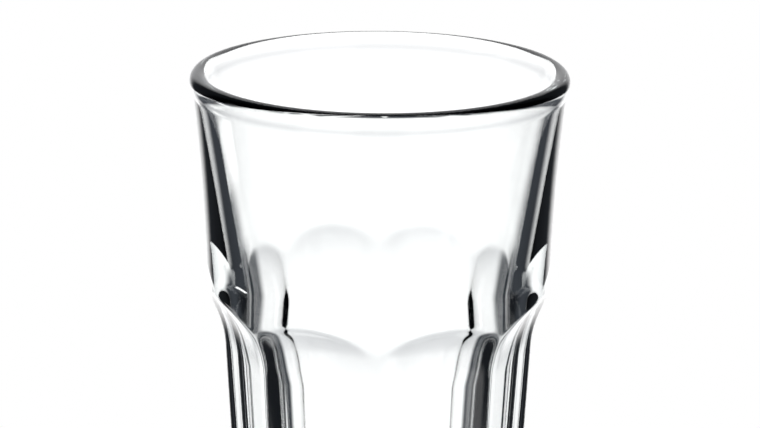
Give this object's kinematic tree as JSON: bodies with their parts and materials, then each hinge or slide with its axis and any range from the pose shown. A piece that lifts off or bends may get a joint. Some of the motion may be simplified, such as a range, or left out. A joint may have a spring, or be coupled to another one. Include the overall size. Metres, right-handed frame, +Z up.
{
  "type": "cooler glass",
  "caption": "Tall clear pressed-glass tumbler for cold drinks: rolled rim, flared round band, flat panels with arched tops and ribs between them, thick base.",
  "frame": {"origin": "middle of the ring that the glass stands on, at the table", "axes": "+Z up along the glass's axis, +X and -Y each through the middle of a rib; -Y faces the camera of the picture"},
  "size_m": [0.086, 0.086, 0.159],
  "materials": {
    "clear_glass": "clear fire-polished pressed soda-lime glass"
  },
  "bodies": {
    "root": {"tumbler": "clear_glass"}
  },
  "joints": []
}
